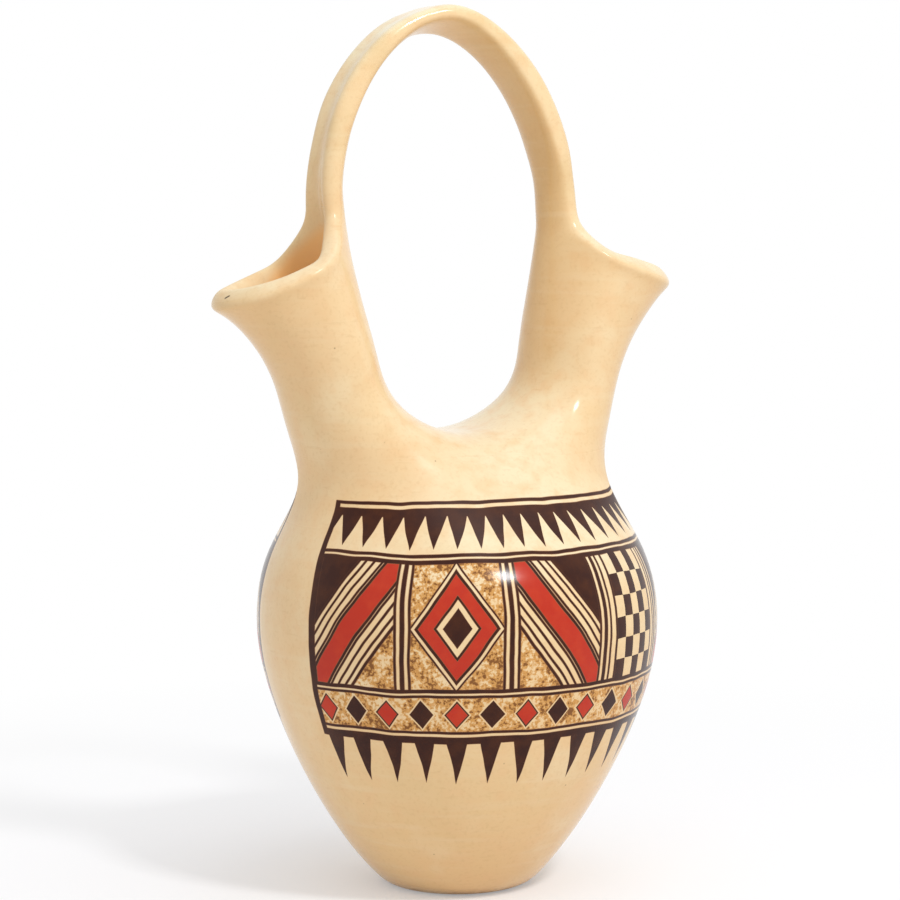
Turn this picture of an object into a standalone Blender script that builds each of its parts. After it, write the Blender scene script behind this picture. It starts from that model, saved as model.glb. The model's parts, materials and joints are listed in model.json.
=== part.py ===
"""Wedding vase: a round clay body that branches into two flared spouts tied by an arched strap handle."""
import math

import bmesh
import bpy
from mathutils import Vector

# Foot and belly, in metres
FOOT_FLAT_RADIUS = 0.0190
FOOT_RADIUS = 0.0245
HEEL_RADIUS = 0.0300
HEEL_HEIGHT = 0.0040
HEEL_SLOPE = math.radians(44.0)
HEEL_REACH = 0.0230
BELLY_RADIUS = 0.0709
BELLY_HEIGHT = 0.0920
BELLY_REACH = 0.0264

# Shoulder, waist and saddle
SHOULDER_RADIUS = 0.0668
SHOULDER_RISE = 0.0240
WAIST_HALF_LENGTH = 0.0534
WAIST_HALF_WIDTH = 0.0395
WAIST_RISE = 0.0220
SADDLE_HALF_WIDTH = 0.0220
SADDLE_RISE = 0.0140

# Spouts, from the neck just above the saddle to the lip; the hand-built sides differ a little
NECK_OFFSET = 0.0434
LEFT_NECK_HALF_LENGTH = 0.0173
RIGHT_NECK_HALF_LENGTH = 0.0161
NECK_HALF_WIDTH = 0.0222
NECK_TILT = math.radians(17.0)
NECK_RISE = 0.0090
LIP_OFFSET = 0.0617
LIP_HALF_LENGTH = 0.0288
LIP_HALF_WIDTH = 0.0212
LEFT_LIP_TILT = math.radians(26.0)
RIGHT_LIP_TILT = math.radians(20.5)
SPOUT_RISE = 0.0523
SPOUT_BEND = 1.6
LEFT_SPOUT_FLARE = 3.4
RIGHT_SPOUT_FLARE = 2.1

# Strap handle, an arch between the two inner lips
LEFT_HANDLE_REACH = 0.0388
RIGHT_HANDLE_REACH = 0.0363
HANDLE_ROOT_RISE = 0.0275
HANDLE_RISE = 0.0498
LEFT_HANDLE_ROUNDNESS = 1.84
RIGHT_HANDLE_ROUNDNESS = 1.73
LEFT_STRAP_HALF_WIDTH = 0.0088
RIGHT_STRAP_HALF_WIDTH = 0.0108
LEFT_STRAP_THICKNESS = 0.0086
RIGHT_STRAP_THICKNESS = 0.0100
LEFT_STRAP_LIFT = 0.0046
RIGHT_STRAP_LIFT = 0.0034
ROOT_FLARE = 0.0048
ROOT_FADE = 1.6
STRAP_TAPER = 1.6
STRAP_HOLLOW_FADE = 0.9

# Walls, the lean of the upper half and the joints between the luted sections
WALL = 0.0065
THROAT_WALL = 0.0076
TIP_WALL = 0.0016
LEFT_LIP_WALL = 0.0070
RIGHT_LIP_WALL = 0.0086
THROAT_START = 0.60
LEAN = 0.041
LIP_DROP = 0.02
LEAN_START_RISE = 0.0200
LEAN_BLEND = 0.0400
JOINT_GAP = 0.0003
BASE_WALL_RISE = 0.0090
BELLY_JOINT_DROP = 0.0070
SPOUT_JOINT_RISE = 0.0080
HANDLE_JOINT_DROP = 0.0050

# Counts of the cage: sides of a body ring, steps up the walls, rows up each half of the handle
RING_SIDES = 24
LOWER_WALL_STEPS = 4
SPOUT_STEPS = (0.0, 0.35, 0.62, 0.84, 0.94, 1.0)
LIP_FRONT_ANGLE = math.radians(112.0)
STRAP_ANGLE = math.radians(145.0)
ARCH_ANGLES = tuple(math.radians(a) for a in (0.0, 20.0, 38.0, 55.0, 70.0, 81.0))
SMOOTH_LEVELS = 1
SHARP_ANGLE = math.radians(40.0)

# Heights worked out from the sizes above
SHOULDER_HEIGHT = BELLY_HEIGHT + SHOULDER_RISE
WAIST_HEIGHT = SHOULDER_HEIGHT + WAIST_RISE
SADDLE_HEIGHT = WAIST_HEIGHT + SADDLE_RISE
NECK_HEIGHT = SADDLE_HEIGHT + NECK_RISE
LIP_HEIGHT = NECK_HEIGHT + SPOUT_RISE
HANDLE_SPRING = LIP_HEIGHT + HANDLE_ROOT_RISE
APEX_HALF_WIDTH = 0.5 * (LEFT_STRAP_HALF_WIDTH + RIGHT_STRAP_HALF_WIDTH)
THICKEST = max(THROAT_WALL + TIP_WALL, RIGHT_STRAP_THICKNESS)
LEAN_START = BELLY_HEIGHT + LEAN_START_RISE
OUTER_SIDES = RING_SIDES // 2 + 1

# Section joints, from the foot up
BASE_JOINT = HEEL_HEIGHT + BASE_WALL_RISE
BELLY_JOINT = BELLY_HEIGHT - BELLY_JOINT_DROP
SPOUT_JOINT = NECK_HEIGHT + SPOUT_JOINT_RISE
HANDLE_JOINT = HANDLE_SPRING - HANDLE_JOINT_DROP
TOP_HEIGHT = HANDLE_SPRING + HANDLE_RISE + THICKEST
REACH = LIP_OFFSET + LIP_HALF_LENGTH + BELLY_RADIUS

# Fired slip colours: linear red, green and blue
BUFF_SLIP = (0.80, 0.58, 0.34, 1.0)
FOOT_CLAY = (0.62, 0.40, 0.21, 1.0)
BURNISHED = 0.38
SCUFFED = 0.55


def clear_scene():
    for item in list(bpy.data.objects):
        bpy.data.objects.remove(item, do_unlink=True)


def new_collection(name):
    group = bpy.data.collections.new(name)
    bpy.context.scene.collection.children.link(group)
    return group


def clay(name, colour, roughness):
    material = bpy.data.materials.new(name)
    material.use_nodes = True
    shader = material.node_tree.nodes["Principled BSDF"]
    shader.inputs["Base Color"].default_value = colour
    shader.inputs["Roughness"].default_value = roughness
    shader.inputs["Metallic"].default_value = 0.0
    return material


def lean(point):
    """Lean the upper half a little to the left, as a hand-built neck settles."""
    rise = max(0.0, point.z - LEAN_START)
    blend = min(1.0, rise / LEAN_BLEND)
    return Vector((point.x - LEAN * rise, point.y, point.z + LIP_DROP * point.x * blend))


def of_side(side, left, right):
    return right if side > 0 else left


def add_points(bm, points, walls):
    """Cage points, each with its wall in the first vertex group as a share of the thickest."""
    groups = bm.verts.layers.deform.verify()
    made = [bm.verts.new(lean(Vector(point))) for point in points]
    for vert, wall in zip(made, walls):
        vert[groups][0] = wall / THICKEST
    return made


def oval(half_length, half_width, height):
    step = 2.0 * math.pi / RING_SIDES
    return [
        (half_length * math.cos(k * step), half_width * math.sin(k * step), height)
        for k in range(RING_SIDES)
    ]


def lower_wall(share):
    """Radius and height of the wall from the heel (0) to the belly (1), as a cubic Bezier curve."""
    heel = Vector((HEEL_RADIUS, HEEL_HEIGHT))
    rising = heel + HEEL_REACH * Vector((math.cos(HEEL_SLOPE), math.sin(HEEL_SLOPE)))
    belly = Vector((BELLY_RADIUS, BELLY_HEIGHT))
    swelling = belly - Vector((0.0, BELLY_REACH))
    rest = 1.0 - share
    return (rest**3 * heel + 3 * rest**2 * share * rising
            + 3 * rest * share**2 * swelling + share**3 * belly)


def body_rings(bm):
    """Rings from the middle of the foot up to the waist, and the vertex in the middle of the foot."""
    sections = [(FOOT_FLAT_RADIUS, 0.0), (FOOT_RADIUS, 0.0)]
    sections += [tuple(lower_wall(step / LOWER_WALL_STEPS)) for step in range(LOWER_WALL_STEPS + 1)]
    sections.append((SHOULDER_RADIUS, SHOULDER_HEIGHT))
    ovals = [oval(radius, radius, height) for radius, height in sections]
    ovals.append(oval(WAIST_HALF_LENGTH, WAIST_HALF_WIDTH, WAIST_HEIGHT))
    rings = [add_points(bm, points, [WALL] * RING_SIDES) for points in ovals]
    return add_points(bm, [(0.0, 0.0, 0.0)], [WALL])[0], rings


def mouth_angles():
    """Angles of a spout ring: front, outer side and back, then the three points that carry the strap."""
    step = 2.0 * LIP_FRONT_ANGLE / (OUTER_SIDES - 1)
    outer = [k * step - LIP_FRONT_ANGLE for k in range(OUTER_SIDES)]
    return outer + [STRAP_ANGLE, math.pi, 2.0 * math.pi - STRAP_ANGLE]


def spout_ring(share, side):
    """One tilted oval of a spout, from its neck (0) to its lip (1)."""
    flare = share**of_side(side, LEFT_SPOUT_FLARE, RIGHT_SPOUT_FLARE)
    offset = NECK_OFFSET + (LIP_OFFSET - NECK_OFFSET) * share**SPOUT_BEND
    neck_length = of_side(side, LEFT_NECK_HALF_LENGTH, RIGHT_NECK_HALF_LENGTH)
    length = neck_length + (LIP_HALF_LENGTH - neck_length) * flare
    width = NECK_HALF_WIDTH + (LIP_HALF_WIDTH - NECK_HALF_WIDTH) * share
    tilt = NECK_TILT + (of_side(side, LEFT_LIP_TILT, RIGHT_LIP_TILT) - NECK_TILT) * share
    strap_lift = flare * of_side(side, LEFT_STRAP_LIFT, RIGHT_STRAP_LIFT)
    height = NECK_HEIGHT + SPOUT_RISE * share
    points = []
    for angle in mouth_angles():
        along = length * math.cos(angle)
        x = offset + along * math.cos(tilt)
        z = height - along * math.sin(tilt)
        if angle in (STRAP_ANGLE, 2.0 * math.pi - STRAP_ANGLE):
            x += ROOT_FLARE * flare
            z += strap_lift
        points.append((side * x, width * math.sin(angle), z))
    return points


def spout_walls(share, side):
    """The wall at each point of a spout ring: fuller in the throat, and fullest at the outer tip."""
    if share < THROAT_START:
        return [WALL] * len(mouth_angles())
    if share < 1.0:
        return [THROAT_WALL + TIP_WALL * max(0.0, math.cos(angle))**2 for angle in mouth_angles()]
    lip_wall = of_side(side, LEFT_LIP_WALL, RIGHT_LIP_WALL)
    return [lip_wall if angle <= LIP_FRONT_ANGLE else THROAT_WALL for angle in mouth_angles()]


def arch_rows(strap, side):
    """Rows of three points up one half of the handle, starting above the strap's place on the lip."""
    inner = Vector(strap[1])
    half_width = of_side(side, LEFT_STRAP_HALF_WIDTH, RIGHT_STRAP_HALF_WIDTH)
    reach = of_side(side, LEFT_HANDLE_REACH, RIGHT_HANDLE_REACH)
    edge_width = abs(strap[0][1])
    hollow = abs(strap[0][0]) - abs(inner.x) - ROOT_FLARE
    centres = [(0.5 * (abs(inner.x) + reach), 0.5 * (inner.z + HANDLE_SPRING), 0.0)]
    power = 2.0 / of_side(side, LEFT_HANDLE_ROUNDNESS, RIGHT_HANDLE_ROUNDNESS)
    for angle in ARCH_ANGLES:
        x = reach * math.cos(angle)**power
        centres.append((x, HANDLE_SPRING + HANDLE_RISE * math.sin(angle)**power, angle))
    rows = []
    for step, (x, z, angle) in enumerate(centres, start=1):
        share = step / len(centres)
        width = edge_width + (half_width - edge_width) * min(1.0, STRAP_TAPER * share)
        stand = hollow * max(0.0, 1.0 - STRAP_HOLLOW_FADE * share)
        stand += ROOT_FLARE * max(0.0, 1.0 - ROOT_FADE * share)**2
        edge_x = side * (x + stand * math.cos(angle))
        edge_z = z + stand * math.sin(angle)
        rows.append([(edge_x, width, edge_z), (side * x, 0.0, z), (edge_x, -width, edge_z)])
    return rows


def stitch(bm, lower, upper, side, closed=True):
    """Quads between two rows of equal count, facing out on either side of the vase."""
    count = len(lower)
    for k in range(count if closed else count - 1):
        n = (k + 1) % count
        corners = (lower[k], lower[n], upper[n], upper[k])
        bm.faces.new(corners if side > 0 else corners[::-1])


def skin_cage():
    """The coarse outer skin: body, two branching spouts and the strap."""
    bm = bmesh.new()
    pole, rings = body_rings(bm)
    for k in range(RING_SIDES):
        bm.faces.new((rings[0][(k + 1) % RING_SIDES], rings[0][k], pole))
    for lower, upper in zip(rings, rings[1:]):
        stitch(bm, lower, upper, 1)
    waist = rings[-1]
    widths = (SADDLE_HALF_WIDTH, 0.0, -SADDLE_HALF_WIDTH)
    saddle = add_points(bm, [(0.0, y, SADDLE_HEIGHT) for y in widths], [WALL] * 3)
    apex_height = HANDLE_SPRING + HANDLE_RISE
    widths = (APEX_HALF_WIDTH, 0.0, -APEX_HALF_WIDTH)
    apex = add_points(bm, [(0.0, y, apex_height) for y in widths], [RIGHT_STRAP_THICKNESS] * 3)
    quarter = RING_SIDES // 4
    for side in (1, -1):
        half = [k if side > 0 else RING_SIDES // 2 - k for k in range(-quarter, quarter + 1)]
        below = [waist[k % RING_SIDES] for k in half] + saddle
        for share in SPOUT_STEPS:
            above = add_points(bm, spout_ring(share, side), spout_walls(share, side))
            stitch(bm, below, above, side)
            below = above
        row = below[OUTER_SIDES:]
        thickness = of_side(side, LEFT_STRAP_THICKNESS, RIGHT_STRAP_THICKNESS)
        for points in arch_rows(spout_ring(1.0, side)[OUTER_SIDES:], side):
            above = add_points(bm, points, [thickness] * 3)
            stitch(bm, row, above, side, closed=False)
            row = above
        stitch(bm, row, apex, side, closed=False)
    mesh = bpy.data.meshes.new("vase_form")
    bm.to_mesh(mesh)
    bm.free()
    return mesh


def vase_form(guides):
    """The whole thick-walled form, kept as a guide from which each section is taken."""
    form = bpy.data.objects.new("vase_form", skin_cage())
    guides.objects.link(form)
    form.hide_render = True
    form.display_type = "WIRE"
    wall = form.vertex_groups.new(name="wall")
    shell = form.modifiers.new("wall", "SOLIDIFY")
    shell.thickness = THICKEST
    shell.offset = -1.0
    shell.vertex_group = wall.name
    smooth = form.modifiers.new("smooth", "SUBSURF")
    smooth.levels = SMOOTH_LEVELS
    smooth.render_levels = SMOOTH_LEVELS
    return form


def zone(name, guides, low, high, left=-REACH, right=REACH):
    """A block that holds one section, trimmed by half the joint gap at the bottom and the top."""
    bpy.ops.mesh.primitive_cube_add(size=1.0)
    block = bpy.context.object
    block.name = name + "_zone"
    low += 0.5 * JOINT_GAP
    high -= 0.5 * JOINT_GAP
    block.scale = (right - left, 2.0 * REACH, high - low)
    block.location = (0.5 * (left + right), 0.0, 0.5 * (low + high))
    for group in list(block.users_collection):
        group.objects.unlink(block)
    guides.objects.link(block)
    block.hide_render = True
    block.display_type = "WIRE"
    return block


def section(name, parts, form_mesh, block, material):
    """One luted section: the form where it lies inside its zone."""
    mesh = form_mesh.copy()
    mesh.name = name
    mesh.materials.clear()
    mesh.materials.append(material)
    piece = bpy.data.objects.new(name, mesh)
    parts.objects.link(piece)
    cut = piece.modifiers.new("zone", "BOOLEAN")
    cut.operation = "INTERSECT"
    cut.solver = "EXACT"
    cut.object = block
    mesh.shade_smooth()
    mesh.set_sharp_from_angle(angle=SHARP_ANGLE)
    return piece


def build():
    clear_scene()
    parts = new_collection("wedding_vase")
    guides = new_collection("guides")
    form = vase_form(guides)
    bpy.context.view_layer.update()
    evaluated = form.evaluated_get(bpy.context.evaluated_depsgraph_get())
    form_mesh = bpy.data.meshes.new_from_object(evaluated)
    sections = (
        ("base", -WALL, BASE_JOINT, -REACH, REACH, FOOT_CLAY, SCUFFED),
        ("lower_body", BASE_JOINT, BELLY_JOINT, -REACH, REACH, BUFF_SLIP, BURNISHED),
        ("shoulder", BELLY_JOINT, SPOUT_JOINT, -REACH, REACH, BUFF_SLIP, BURNISHED),
        ("left_spout", SPOUT_JOINT, HANDLE_JOINT, -REACH, 0.0, BUFF_SLIP, BURNISHED),
        ("right_spout", SPOUT_JOINT, HANDLE_JOINT, 0.0, REACH, BUFF_SLIP, BURNISHED),
        ("handle", HANDLE_JOINT, TOP_HEIGHT + WALL, -REACH, REACH, BUFF_SLIP, BURNISHED),
    )
    for name, low, high, left, right, colour, roughness in sections:
        block = zone(name, guides, low, high, left, right)
        section(name, parts, form_mesh, block, clay(name + "_clay", colour, roughness))
    bpy.data.meshes.remove(form_mesh)


build()
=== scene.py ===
# %% [markdown]
# # A burnished clay wedding vase
# A wedding vase is one hollow pot with two spouts, joined over the gap by a strap handle. The potter
# builds it by hand from a base, coiled walls, two spouts and a strap, coats it with fine slip,
# polishes the slip with a stone and paints a frieze on it before the firing.
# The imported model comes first, because it fixes the size and the place of every section.

# %% Load the frame
import json
import math

import bmesh
import bpy
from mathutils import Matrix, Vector, noise

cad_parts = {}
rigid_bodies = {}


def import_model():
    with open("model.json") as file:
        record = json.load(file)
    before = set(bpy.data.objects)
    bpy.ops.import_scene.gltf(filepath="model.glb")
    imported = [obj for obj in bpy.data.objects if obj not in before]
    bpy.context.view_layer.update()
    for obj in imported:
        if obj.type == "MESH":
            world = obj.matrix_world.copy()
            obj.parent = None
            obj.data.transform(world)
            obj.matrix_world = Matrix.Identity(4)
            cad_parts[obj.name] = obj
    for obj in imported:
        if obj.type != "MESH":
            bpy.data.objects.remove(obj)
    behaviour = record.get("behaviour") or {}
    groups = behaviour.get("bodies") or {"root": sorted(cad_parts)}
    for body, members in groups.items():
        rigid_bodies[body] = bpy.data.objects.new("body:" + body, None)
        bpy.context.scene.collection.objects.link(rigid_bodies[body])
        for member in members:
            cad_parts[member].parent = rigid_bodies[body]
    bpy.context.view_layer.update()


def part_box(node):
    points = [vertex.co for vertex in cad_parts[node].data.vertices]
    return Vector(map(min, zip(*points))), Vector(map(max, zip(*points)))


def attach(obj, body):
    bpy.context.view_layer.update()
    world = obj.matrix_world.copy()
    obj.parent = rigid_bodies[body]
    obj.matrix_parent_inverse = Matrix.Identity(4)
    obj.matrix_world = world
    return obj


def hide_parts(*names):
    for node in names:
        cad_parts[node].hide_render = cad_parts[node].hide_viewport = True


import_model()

# %% [markdown]
# ## Wiring shaders with plain sums
# Slip, paint and floor are all made of shader nodes. Wiring each node by hand hides the idea behind
# the plumbing, so one small class holds an output socket. Sums on it add Math nodes, `mixed` blends
# two colours, and `node` makes anything else from its type, its settings and its inputs.

# %% A value on its way through a node tree
class Wire:
    """An output socket that can be used in sums."""

    def __init__(self, tree, socket=None):
        self.tree = tree
        self.socket = socket

    def node(self, kind, settings=None, inputs=None, output=0):
        """Add a node: its settings first, then the values or links of its sockets."""
        made = self.tree.nodes.new(kind)
        for name, value in (settings or {}).items():
            setattr(made, name, value)
        for name, value in (inputs or {}).items():
            if isinstance(value, Wire):
                self.tree.links.new(value.socket, made.inputs[name])
            else:
                made.inputs[name].default_value = value
        return Wire(self.tree, made.outputs[output]) if made.outputs else None

    def math(self, operation, *values):
        return self.node("ShaderNodeMath", {"operation": operation}, dict(enumerate(values)))

    def vector(self, operation, inputs, output=0):
        return self.node("ShaderNodeVectorMath", {"operation": operation}, inputs, output)

    def mixed(self, colour, other):
        """This value mixes one colour (at 0) into another (at 1)."""
        return self.node("ShaderNodeMix", {"data_type": "RGBA"}, {0: self, 6: colour, 7: other}, 2)

    def __add__(self, other):
        return self.math("ADD", self, other)

    __radd__ = __add__

    def __mul__(self, other):
        return self.math("MULTIPLY", self, other)

    __rmul__ = __mul__

    def __sub__(self, other):
        return self.math("SUBTRACT", self, other)

    def __rsub__(self, other):
        return self.math("SUBTRACT", other, self)

    def __truediv__(self, other):
        return self.math("DIVIDE", self, other)

    def __mod__(self, other):
        return self.math("FLOORED_MODULO", self, other)

    def __or__(self, other):
        return self.math("MAXIMUM", self, other)

    def __abs__(self):
        return self.math("ABSOLUTE", self)

    def __floor__(self):
        return self.math("FLOOR", self)


# %% [markdown]
# ## The form of the pot
# The real pot is one skin of clay that starts as a round body and branches into two spouts. A lathe
# profile can't branch, and joining three lathe shapes leaves a crease at the saddle. A coarse cage
# of quads can: it is stitched ring by ring, its waist ring divides into the two spout rings, and
# subdivision rounds it off as a thumb does. The sizes are the ones of the CAD sections.

# %% Sizes of foot, belly and saddle, in metres
FOOT_FLAT_RADIUS = 0.0190
FOOT_RADIUS = 0.0245
HEEL_RADIUS = 0.0300
HEEL_HEIGHT = 0.0040
HEEL_SLOPE = math.radians(44.0)
HEEL_REACH = 0.0230
BELLY_RADIUS = 0.0709
BELLY_HEIGHT = 0.0920
BELLY_REACH = 0.0264
SHOULDER_RADIUS = 0.0668
SHOULDER_HEIGHT = BELLY_HEIGHT + 0.0240
WAIST_HALF_LENGTH = 0.0534
WAIST_HALF_WIDTH = 0.0395
WAIST_HEIGHT = SHOULDER_HEIGHT + 0.0220
SADDLE_HALF_WIDTH = 0.0220
SADDLE_HEIGHT = WAIST_HEIGHT + 0.0140
RING_SIDES = 24
LOWER_WALL_STEPS = 4

# %% Sizes of spouts and handle, in metres
NECK_OFFSET = 0.0434
LEFT_NECK_HALF_LENGTH = 0.0173
RIGHT_NECK_HALF_LENGTH = 0.0161
NECK_HALF_WIDTH = 0.0222
NECK_TILT = math.radians(17.0)
NECK_HEIGHT = SADDLE_HEIGHT + 0.0090
LIP_OFFSET = 0.0617
LIP_HALF_LENGTH = 0.0288
LIP_HALF_WIDTH = 0.0212
LEFT_LIP_TILT = math.radians(26.0)
RIGHT_LIP_TILT = math.radians(20.5)
LEFT_LIP_ROLL = 0.06
LIP_CURL = 0.0026
LIP_CURL_POWER = 12.0
SPOUT_RISE = 0.0523
SPOUT_BEND = 1.6
LEFT_SPOUT_FLARE = 3.4
RIGHT_SPOUT_FLARE = 2.1
SPOUT_STEPS = (0.0, 0.35, 0.62, 0.84, 0.94, 1.0)
LIP_FRONT_ANGLE = math.radians(112.0)
STRAP_ANGLE = math.radians(145.0)
LEFT_HANDLE_REACH = 0.0388
RIGHT_HANDLE_REACH = 0.0363
HANDLE_SPRING = NECK_HEIGHT + SPOUT_RISE + 0.0275
HANDLE_RISE = 0.0498
LEFT_HANDLE_ROUNDNESS = 1.84
RIGHT_HANDLE_ROUNDNESS = 1.73
LEFT_STRAP_HALF_WIDTH = 0.0085
RIGHT_STRAP_HALF_WIDTH = 0.0105
LEFT_STRAP_THICKNESS = 0.0082
RIGHT_STRAP_THICKNESS = 0.0096
LEFT_STRAP_LIFT = 0.0046
RIGHT_STRAP_LIFT = 0.0034
WALL = 0.0065
THROAT_WALL = 0.0076
LEFT_LIP_WALL = 0.0070
RIGHT_LIP_WALL = 0.0096
TIP_WALL = 0.0016
THROAT_START = 0.60
ARCH_ANGLES = [math.radians(a) for a in (0.0, 20.0, 38.0, 55.0, 70.0, 81.0)]
STRAP_TAPER = 1.6
STRAP_HOLLOW_FADE = 0.9
STRAP_ROLL = 0.0023
STRAP_ROLL_POWER = 6.0
STRAP_ROLL_SHARES = (-0.5, 0.5, 1.75)
THICKEST = RIGHT_STRAP_THICKNESS + STRAP_ROLL
ROOT_FLARE = 0.0048
ROOT_FADE = 1.6

# %% [markdown]
# ### The lean of a hand-built neck
# The real vase isn't quite symmetrical: above the belly it settled a little to one side in drying.
# Each cage point is leaned as it is made, so everything that is built on it leans with it.

# %% Lean and rings
LEAN = 0.041
LEAN_START = BELLY_HEIGHT + 0.0200
LEAN_BLEND = 0.0400
LIP_DROP = 0.02


def leaned(point):
    """Shift a point sideways in step with its height above the start of the lean."""
    x, y, z = point
    rise = max(0.0, z - LEAN_START)
    blend = min(1.0, rise / LEAN_BLEND)
    return Vector((x - LEAN * rise, y, z + LIP_DROP * x * blend))


def add_points(bm, points, walls):
    """Cage points, each with its wall in the first vertex group as a share of the thickest."""
    groups = bm.verts.layers.deform.verify()
    made = [bm.verts.new(leaned(point)) for point in points]
    for vert, wall in zip(made, walls):
        vert[groups][0] = wall / THICKEST
    return made


def oval(half_length, half_width, height):
    turns = [2.0 * math.pi * k / RING_SIDES for k in range(RING_SIDES)]
    return [(half_length * math.cos(t), half_width * math.sin(t), height) for t in turns]


def lower_wall(share):
    """Radius and height of the wall between the heel (0) and the belly (1): a cubic Bezier curve."""
    heel = Vector((HEEL_RADIUS, HEEL_HEIGHT))
    rising = heel + HEEL_REACH * Vector((math.cos(HEEL_SLOPE), math.sin(HEEL_SLOPE)))
    belly = Vector((BELLY_RADIUS, BELLY_HEIGHT))
    swelling = belly - Vector((0.0, BELLY_REACH))
    rest = 1.0 - share
    return (rest**3 * heel + 3 * rest**2 * share * rising
            + 3 * rest * share**2 * swelling + share**3 * belly)


def body_sections():
    """Radius and height of the round rings, from the flat of the foot to the shoulder."""
    sections = [(FOOT_FLAT_RADIUS, 0.0), (FOOT_RADIUS, 0.0)]
    sections += [tuple(lower_wall(k / LOWER_WALL_STEPS)) for k in range(LOWER_WALL_STEPS + 1)]
    return sections + [(SHOULDER_RADIUS, SHOULDER_HEIGHT)]


print("round rings of the body:", len(body_sections()))

# %% [markdown]
# ### Spouts
# Each spout is a row of tilted ovals that grow towards the lip. The edge of the lip is curled out and
# down a little, as a thumb leaves it. Three points of every oval, on the side towards the other
# spout, carry the strap. The left and the right spout differ, so each has its own sizes.

# %% Points of a spout ring
def mouth_angles():
    """Angles round a spout: front, outer side and back, then the three points of the strap."""
    sides = RING_SIDES // 2
    outer = [LIP_FRONT_ANGLE * (2.0 * k / sides - 1.0) for k in range(sides + 1)]
    return outer + [STRAP_ANGLE, math.pi, 2.0 * math.pi - STRAP_ANGLE]


def of_side(side, left, right):
    return right if side > 0 else left


def spout_ring(share, side):
    """One tilted oval of a spout, from its neck (0) to its lip (1)."""
    flare = share**of_side(side, LEFT_SPOUT_FLARE, RIGHT_SPOUT_FLARE)
    offset = NECK_OFFSET + (LIP_OFFSET - NECK_OFFSET) * share**SPOUT_BEND
    neck_length = of_side(side, LEFT_NECK_HALF_LENGTH, RIGHT_NECK_HALF_LENGTH)
    length = neck_length + (LIP_HALF_LENGTH - neck_length) * flare
    width = NECK_HALF_WIDTH + (LIP_HALF_WIDTH - NECK_HALF_WIDTH) * share
    tilt = NECK_TILT + (of_side(side, LEFT_LIP_TILT, RIGHT_LIP_TILT) - NECK_TILT) * share
    strap_lift = flare * of_side(side, LEFT_STRAP_LIFT, RIGHT_STRAP_LIFT)
    roll = flare * of_side(side, LEFT_LIP_ROLL, 0.0)
    height = NECK_HEIGHT + SPOUT_RISE * share
    points = []
    for angle in mouth_angles():
        along = length * math.cos(angle)
        curl = LIP_CURL * share**LIP_CURL_POWER if angle <= LIP_FRONT_ANGLE else 0.0
        y = (width + curl) * math.sin(angle)
        x = offset + along * math.cos(tilt)
        z = height - along * math.sin(tilt) - roll * y - curl * math.sin(angle)**2
        if angle in (STRAP_ANGLE, 2.0 * math.pi - STRAP_ANGLE):
            x += ROOT_FLARE * flare
            z += strap_lift
        points.append((side * x, y, z))
    return points


def spout_walls(share, side):
    """The wall at each point of a spout ring: fuller in the throat, and fullest at the outer tip."""
    if share < THROAT_START:
        return [WALL] * len(mouth_angles())
    if share < 1.0:
        return [THROAT_WALL + TIP_WALL * max(0.0, math.cos(angle))**2 for angle in mouth_angles()]
    lip_wall = of_side(side, LEFT_LIP_WALL, RIGHT_LIP_WALL)
    return [lip_wall if angle <= LIP_FRONT_ANGLE else THROAT_WALL for angle in mouth_angles()]


# %% [markdown]
# ### The strap
# The strap rises from the three points on its lip without a seam, narrows, and meets its other half
# at the top of the arch. Near the top its front edge is thinner from below, so that the underside
# shows from the front. A row of the strap is three points with the clay's thickness at each.

# %% Points of the strap
def strap_row(x, z, angle, width, stand, thickness, side):
    """Back edge, middle and front edge of the strap, each with its thickness."""
    roll = STRAP_ROLL * math.sin(angle)**STRAP_ROLL_POWER
    points = []
    walls = []
    for y, edge, share in zip((width, 0.0, -width), (stand, 0.0, stand), STRAP_ROLL_SHARES):
        lift = edge + share * roll
        points.append((side * (x + lift * math.cos(angle)), y, z + lift * math.sin(angle)))
        walls.append(thickness - share * roll)
    return points, walls


def arch_rows(strap, side):
    """Rows of three points and walls up one half of the handle, from the strap's place on the lip."""
    inner = Vector(strap[1])
    half_width = of_side(side, LEFT_STRAP_HALF_WIDTH, RIGHT_STRAP_HALF_WIDTH)
    thickness = of_side(side, LEFT_STRAP_THICKNESS, RIGHT_STRAP_THICKNESS)
    reach = of_side(side, LEFT_HANDLE_REACH, RIGHT_HANDLE_REACH)
    edge_width = abs(strap[0][1])
    hollow = abs(strap[0][0]) - abs(inner.x) - ROOT_FLARE
    power = 2.0 / of_side(side, LEFT_HANDLE_ROUNDNESS, RIGHT_HANDLE_ROUNDNESS)
    centres = [(0.5 * (abs(inner.x) + reach), 0.5 * (inner.z + HANDLE_SPRING), 0.0)]
    for angle in ARCH_ANGLES:
        x = reach * math.cos(angle)**power
        centres.append((x, HANDLE_SPRING + HANDLE_RISE * math.sin(angle)**power, angle))
    rows = []
    for step, (x, z, angle) in enumerate(centres, start=1):
        share = step / len(centres)
        width = edge_width + (half_width - edge_width) * min(1.0, STRAP_TAPER * share)
        stand = hollow * max(0.0, 1.0 - STRAP_HOLLOW_FADE * share)
        stand += ROOT_FLARE * max(0.0, 1.0 - ROOT_FADE * share)**2
        rows.append(strap_row(x, z, angle, width, stand, thickness, side))
    return rows


# %% [markdown]
# ### Stitching the cage
# Wall thickness differs over the pot: the belly is thin, the lip is thumbed full and the strap is
# solid. The first vertex group notes it on the cage, point by point, and scales the Solidify
# modifier with it. The strap is a flat strip with tight edges and the rest is round, so the strap's
# two edges get a crease that the Subdivision Surface modifier reads.

# %% The cage
STRAP_CREASE = 0.26


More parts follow.
